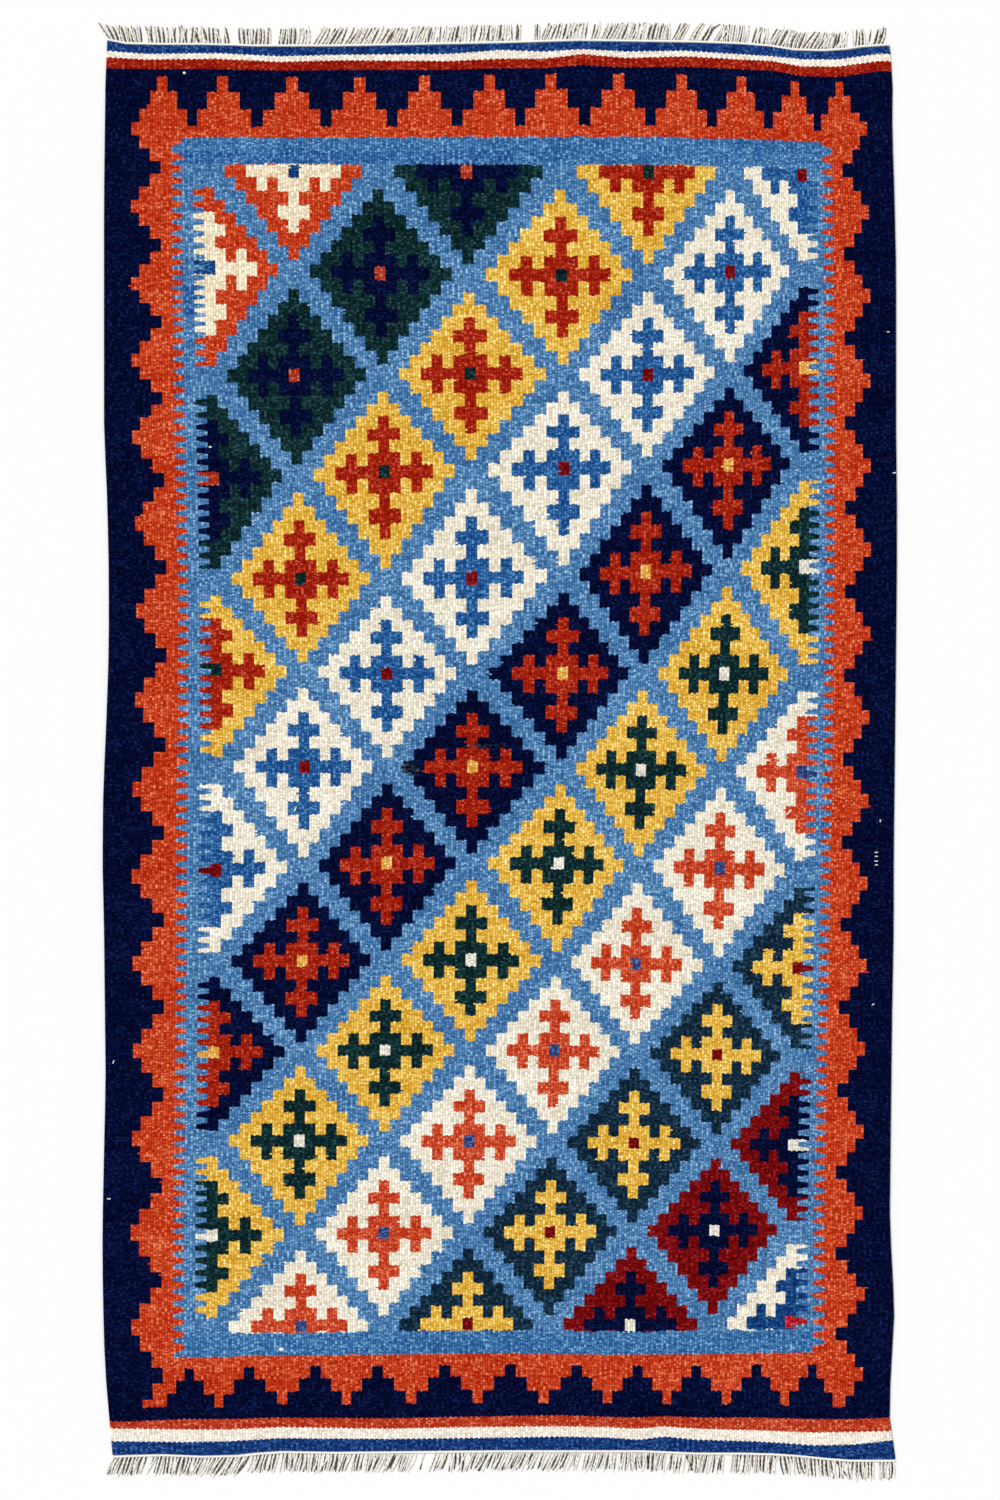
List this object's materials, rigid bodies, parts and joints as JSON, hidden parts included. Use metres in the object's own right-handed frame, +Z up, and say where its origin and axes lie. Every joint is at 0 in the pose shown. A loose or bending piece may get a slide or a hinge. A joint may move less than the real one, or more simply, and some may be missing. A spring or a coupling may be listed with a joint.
{
  "type": "kilim rug",
  "caption": "Flatwoven wool kilim rug with wavy selvedges, a stepped-lozenge field and a short warp fringe at both ends.",
  "frame": {"origin": "on the floor, under the middle of all that the rug covers", "axes": "+Y along the rug's length, towards the end at the top of the picture; +X across its width, to the picture's right; +Z up, out of the woven face"},
  "size_m": [1.0174, 1.8508, 0.003],
  "materials": {
    "weft_wool": "weft-faced tapestry weave, matt wool",
    "warp_yarn": "undyed two-ply warp yarn, matt"
  },
  "bodies": {
    "root": {"flatweave": "weft_wool", "fringe_top": "warp_yarn", "fringe_bottom": "warp_yarn"}
  },
  "joints": []
}
